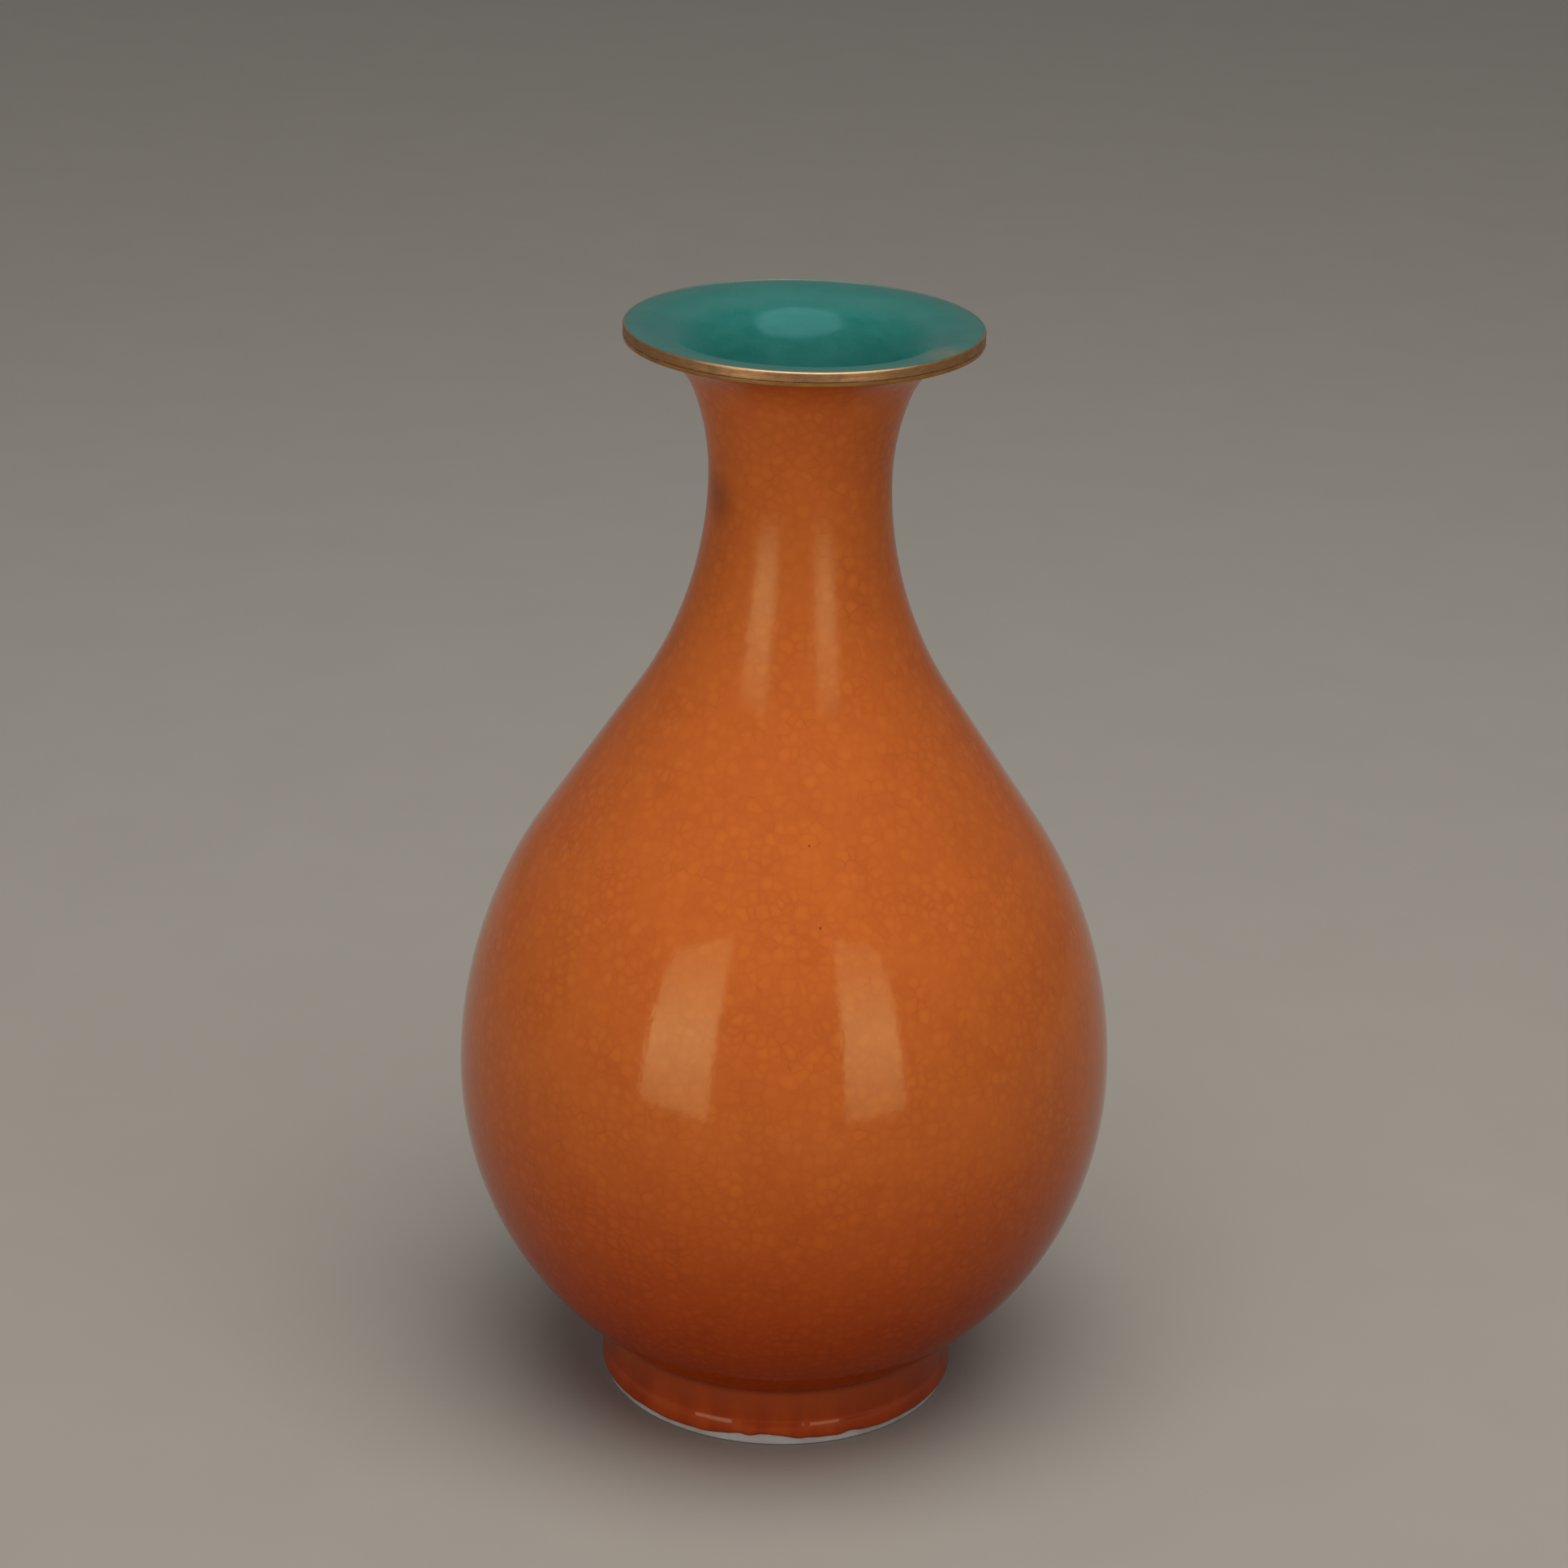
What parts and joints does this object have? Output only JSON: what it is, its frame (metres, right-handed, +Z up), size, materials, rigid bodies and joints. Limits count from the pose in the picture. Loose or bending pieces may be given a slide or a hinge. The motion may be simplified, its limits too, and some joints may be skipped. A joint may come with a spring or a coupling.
{
  "type": "pear-shaped vase",
  "caption": "Pear-shaped porcelain vase with a flared mouth and ring foot, orange crackle glaze outside, turquoise glaze inside and a gilded lip; holds flowers or stands as an ornament.",
  "frame": {"origin": "centre of the foot ring, on the plane that it stands on", "axes": "+Z up along the vase's axis of revolution, towards the mouth; X and Y are free because the vase is round"},
  "size_m": [0.1352, 0.1352, 0.23],
  "materials": {
    "bare_porcelain": "matt, unglazed",
    "slip": "matt, fired slip",
    "porcelain": "matt, under the glaze",
    "orange_glaze": "satin gloss with a fine crackle",
    "foot_glaze": "gloss, thicker and redder",
    "turquoise_glaze": "satin gloss",
    "base_glaze": "satin gloss",
    "yellow_line": "gloss",
    "gilding": "worn gilding"
  },
  "bodies": {
    "root": {"foot_ring": "bare_porcelain", "foot_lute": "slip", "lower_body": "porcelain", "belly_lute": "slip", "upper_body": "porcelain", "neck_lute": "slip", "neck": "porcelain", "outer_glaze": "orange_glaze", "foot_glaze": "foot_glaze", "inner_glaze": "turquoise_glaze", "base_glaze": "base_glaze", "lip_line": "yellow_line", "gilt_rim": "gilding"}
  },
  "joints": []
}
